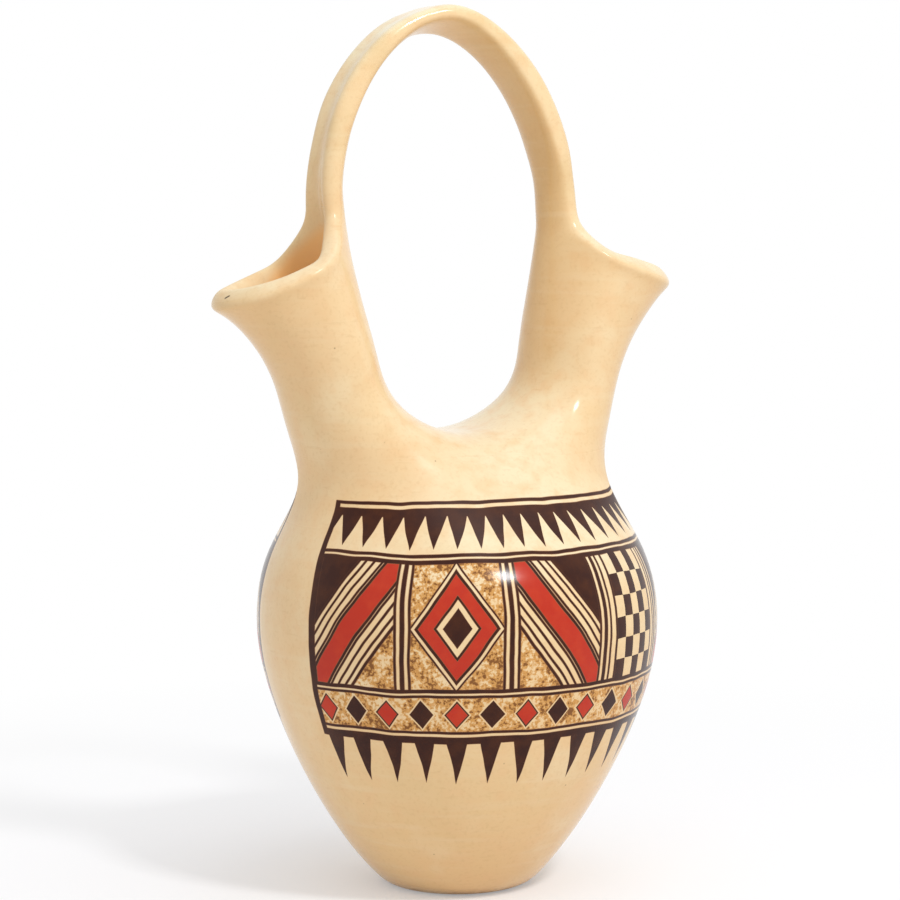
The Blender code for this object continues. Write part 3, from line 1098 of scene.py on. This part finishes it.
def bead_strip(height, turn):
    """Dark, red and sponged masks of the row of small lozenges."""
    reach = bead_reach(height, turn)
    bead = 1 - above(reach, 1.0, POINT_EDGE)
    strip = between(height, LOW_LINES[1][0], LOW_LINES[0][0], BRUSH_EDGE)
    odd_bead = above((turn * BEADS + 0.5) % 2.0, 1.0, STEP_EDGE)
    dark = strip * (bead * odd_bead | stroke(reach, 1.0, BEAD_OUTLINE, POINT_EDGE))
    return dark, strip * bead * (1 - odd_bead), strip * above(reach, BEAD_GROUND, POINT_EDGE)


# %% [markdown]
# ### Putting the frieze together
# The frieze covers the front and the back. The two sides below the spouts stay bare, and an upright
# bar ends the frieze at each of them.

# %% Frieze masks
SIDE_GAP = 15.0 / 180.0
END_BAR = 0.022


def frieze_masks(point):
    """Dark, red and sponged masks of the whole frieze."""
    height, turn = height_and_turn(brushed_point(point))
    dark, red, sponged = [a | b for a, b in zip(panel_band(height, turn), bead_strip(height, turn))]
    dark = dark | level_lines(height) | saw_teeth(height, turn) | darts(height, turn)
    side_place = swing(turn + FIRST_PANEL_TURN, 2)
    upright = between(height, LOW_LINES[-1][0], TOP_LINES[0][0], BRUSH_EDGE)
    dark = dark | upright * stroke(side_place, SIDE_GAP, END_BAR, HARD_EDGE)
    face = above(side_place, SIDE_GAP, HARD_EDGE)
    return dark * face, red * face, sponged * face


# %% [markdown]
# ### Paint on the slip
# The dark paint is a thin brown-black that turns reddish where it thins at an edge. The red is an
# iron slip, and the ochre is dabbed on with a bit of sponge. Paint is polished less than slip, so
# its gloss is softer.

# %% Painted slip material
DARK_PAINT = (0.036, 0.006, 0.001, 1.0)
THIN_DARK = (0.062, 0.014, 0.002, 1.0)
EDGE_BROWN = (0.270, 0.110, 0.045, 1.0)
RED_PAINT = (0.475, 0.012, 0.001, 1.0)
WORN_RED = (0.515, 0.024, 0.003, 1.0)
SPONGE_OCHRE = (0.600, 0.285, 0.065, 1.0)
SPONGE_BROWN = (0.170, 0.055, 0.010, 1.0)
CLUMP_SCALE = 240.0
CLUMP_SHARE = 0.45
DAB_SCALE = 900.0
DAB_SHARE = 0.55
WEAR_SCALE = 210.0
RED_COVER = 0.97
PAINT_ROUGHER = 0.02


def sponge_dabs(point):
    grains = cloud(point, DAB_SCALE, detail=3.0, roughness=0.60)
    return CLUMP_SHARE * cloud(point, CLUMP_SCALE) + DAB_SHARE * grains


def painted_colour(point, colour, masks):
    dark, red, sponged = masks
    dabs = sponge_dabs(point)
    wear = cloud(point, WEAR_SCALE, detail=4.0)
    colour = tinted(colour, SPONGE_OCHRE, dabs, low=0.43, high=0.49, share=0.92 * sponged)
    colour = tinted(colour, SPONGE_BROWN, dabs, low=0.53, high=0.58, share=0.88 * sponged)
    red_paint = tinted(RED_PAINT, WORN_RED, wear, low=0.45, high=0.75)
    colour = (RED_COVER * red).mixed(colour, red_paint)
    dark_paint = tinted(DARK_PAINT, THIN_DARK, wear, low=0.40, high=0.75)
    colour = tinted(colour, EDGE_BROWN, dark, low=0.0, high=0.55)
    return tinted(colour, dark_paint, dark, low=0.35, high=1.0)


painted_slip, tree = new_tree("painted_slip")
point = surface_point(tree)
masks = [mask * (1 - mouth_shadow_mask(point)) for mask in frieze_masks(point)]
painted = masks[0] | masks[1]
finish_clay(point, painted_colour(point, slip_colour(point), masks),
            slip_gloss(point) + PAINT_ROUGHER * painted)
print("nodes in the painted slip:", len(tree.nodes))

# %% [markdown]
# ## The rubbed foot
# The slip stops short of the face that the vase stands on, and years of standing rub the heel. The
# base section has the same slip, which gives way to bare, scuffed clay towards the floor, so the
# joint above it can't be seen.

# %% Foot clay material
FOOT_BARE = (0.560, 0.345, 0.175, 1.0)
FOOT_DUST = (0.690, 0.500, 0.300, 1.0)
BARE_HEIGHT = 0.6 * MM
SLIP_HEIGHT = 3.4 * MM
RAGGED_REACH = 3.0 * MM
RAGGED_SCALE = 120.0
SCUFF_SCALE = 240.0
SCUFF_STRETCH = (1.0, 0.3, 1.0)
SCUFF_ROUGHER = 0.35

foot_clay, tree = new_tree("foot_clay")
point = surface_point(tree)
ragged = axis_of(point, "Z") + RAGGED_REACH * (cloud(point, RAGGED_SCALE, detail=4.0) - 0.5)
rubbed = (1 - ramp(ragged, BARE_HEIGHT, SLIP_HEIGHT)) * (1 - mouth_shadow_mask(point))
scuffs = cloud(point, SCUFF_SCALE, 5.0, SCUFF_STRETCH)
bare = tinted(FOOT_BARE, FOOT_DUST, scuffs, low=0.48, high=0.62)
finish_clay(point, rubbed.mixed(slip_colour(point), bare), slip_gloss(point) + SCUFF_ROUGHER * rubbed)
print("nodes in the foot clay:", len(tree.nodes))

# %% [markdown]
# ### Finishes
# The frieze lies on the lower body and the shoulder. Spouts and strap have the bare slip.

# %% Finishes on the pieces
FINISHES = {
    base: foot_clay,
    lower_body: painted_slip,
    shoulder: painted_slip,
    left_spout: bare_slip,
    right_spout: bare_slip,
    handle: bare_slip,
}
for piece, finish in FINISHES.items():
    piece.data.materials.clear()
    piece.data.materials.append(finish)
print("pieces with a finish:", len(FINISHES))

# %% [markdown]
# ## Studio floor and white ground
# The vase stands on a white sheet that fades out behind it. The sheet is a large plane with a plain
# diffuse white, which keeps the vase's shadow. Away from the vase, rays from the camera meet a white
# of strength 1 instead, so no horizon shows. Mirrored and refracted rays see the same white.

# %% White sheet
SHEET_HALF_WIDTH = 6.0
SHEET_WHITE = (0.940, 0.940, 0.965, 1.0)
PURE_WHITE = (1.0, 1.0, 1.0, 1.0)
SHADOW_REACH = 0.03
WHITE_REACH = 0.42
SHADOW_PALER = 0.30


def seen_rays(wire):
    """1 for rays that show the ground in the picture, 0 for rays that light the vase."""
    camera_ray, glossy_ray, transmission_ray = [
        wire.node("ShaderNodeLightPath", output=ray)
        for ray in ("Is Camera Ray", "Is Glossy Ray", "Is Transmission Ray")]
    return camera_ray | glossy_ray | transmission_ray


sheet_mesh = bpy.data.meshes.new("sheet")
sheet_corners = [(x * SHEET_HALF_WIDTH, y * SHEET_HALF_WIDTH, 0.0)
                 for x, y in ((-1, -1), (1, -1), (1, 1), (-1, 1))]
sheet_mesh.from_pydata(sheet_corners, [], [(0, 1, 2, 3)])
sheet = add_object("sheet", sheet_mesh)

sheet_white, tree = new_tree("sheet_white")
point = surface_point(tree)
away = point.vector("LENGTH", {0: point}, "Value")
cloth = point.node("ShaderNodeBsdfDiffuse", {}, {"Color": SHEET_WHITE})
glow = point.node("ShaderNodeEmission", {}, {"Color": PURE_WHITE, "Strength": 1.0})
fade = SHADOW_PALER + (1.0 - SHADOW_PALER) * ramp(away, SHADOW_REACH, WHITE_REACH)
faded = point.node("ShaderNodeMixShader", {}, {0: seen_rays(point) * fade, 1: cloth, 2: glow})
faded.node("ShaderNodeOutputMaterial", {}, {"Surface": faded})
sheet_mesh.materials.append(sheet_white)
print("sheet width in metres:", 2.0 * SHEET_HALF_WIDTH)

# %% [markdown]
# ## Light
# The photograph's light is a white tent with one small soft lamp, to the right of the camera and a
# little above it: its image is the bright spot on the belly. A broad lamp overhead lights the rims.
# The levels are chosen so that a colour comes out about as it is written.

# %% World
SKY_LEVEL = 0.71

world = bpy.data.worlds.new("white_tent")
bpy.context.scene.world = world
world.use_nodes = True
world.node_tree.nodes.clear()
start = Wire(world.node_tree)
sky_strength = SKY_LEVEL + (1.0 - SKY_LEVEL) * seen_rays(start)
sky = start.node("ShaderNodeBackground", {}, {"Color": PURE_WHITE, "Strength": sky_strength})
sky.node("ShaderNodeOutputWorld", {}, {"Surface": sky})
print("sky level:", SKY_LEVEL)

# %% [markdown]
# ### Lamps
# A lamp's place is given as the photographer sees it: turned right from the camera and raised. Sizes
# and distances are in metres, powers in watts.

# %% Lamps
VIEW_TURN = math.radians(30.0)
LAMP_AIM = Vector((0.0, 0.0, 0.13))
LAMP_DISTANCE = 1.3
KEY_TURN = math.radians(39.0)
KEY_RISE = math.radians(48.0)
KEY_SIZE = 0.17
KEY_POWER = 7.0
TOP_TURN = math.radians(60.0)
TOP_RISE = math.radians(78.0)
TOP_SIZE = 0.60
TOP_POWER = 2.2


def add_lamp(name, turn_right, rise, size, power):
    """A square soft lamp that faces the vase."""
    heading = VIEW_TURN - turn_right
    level = LAMP_DISTANCE * math.cos(rise)
    place = LAMP_AIM + Vector((-level * math.sin(heading), -level * math.cos(heading),
                               LAMP_DISTANCE * math.sin(rise)))
    data = bpy.data.lights.new(name, "AREA")
    data.size = size
    data.energy = power
    lamp = add_object(name, data)
    lamp.location = place
    lamp.rotation_mode = "QUATERNION"
    lamp.rotation_quaternion = (LAMP_AIM - place).to_track_quat("-Z", "Y")
    return lamp


lamps = [add_lamp("key_lamp", KEY_TURN, KEY_RISE, KEY_SIZE, KEY_POWER),
         add_lamp("top_lamp", TOP_TURN, TOP_RISE, TOP_SIZE, TOP_POWER)]
print("lamps:", [lamp.name for lamp in lamps])

# %% [markdown]
# ## Camera
# The camera stands a little above the lips, turned 30 degrees from the vase's front, so that the left
# spout comes forward. A long lens keeps the spouts upright.

# %% Camera
CAMERA_DISTANCE = 0.920
CAMERA_HEIGHT = 0.2297
CAMERA_PITCH = math.radians(5.0)
CAMERA_LENS = 108.0
SENSOR_WIDTH = 36.0
PICTURE_WIDTH = 900.0
PICTURE_CENTRE = 457.0

camera_data = bpy.data.cameras.new("camera")
camera_data.lens = CAMERA_LENS
camera_data.sensor_width = SENSOR_WIDTH
camera_data.shift_x = 0.5 - PICTURE_CENTRE / PICTURE_WIDTH
camera = add_object("camera", camera_data)
camera.location = (-CAMERA_DISTANCE * math.sin(VIEW_TURN), -CAMERA_DISTANCE * math.cos(VIEW_TURN),
                   CAMERA_HEIGHT)
gaze = Vector((math.sin(VIEW_TURN) * math.cos(CAMERA_PITCH),
               math.cos(VIEW_TURN) * math.cos(CAMERA_PITCH), -math.sin(CAMERA_PITCH)))
camera.rotation_mode = "QUATERNION"
camera.rotation_quaternion = gaze.to_track_quat("-Z", "Y")
bpy.context.scene.camera = camera
bpy.context.scene.view_settings.view_transform = "Standard"
print("camera at", tuple(round(value, 3) for value in camera.location))

# %% Remove the working meshes
bpy.data.meshes.remove(skin)
bpy.data.meshes.remove(cage_mesh)
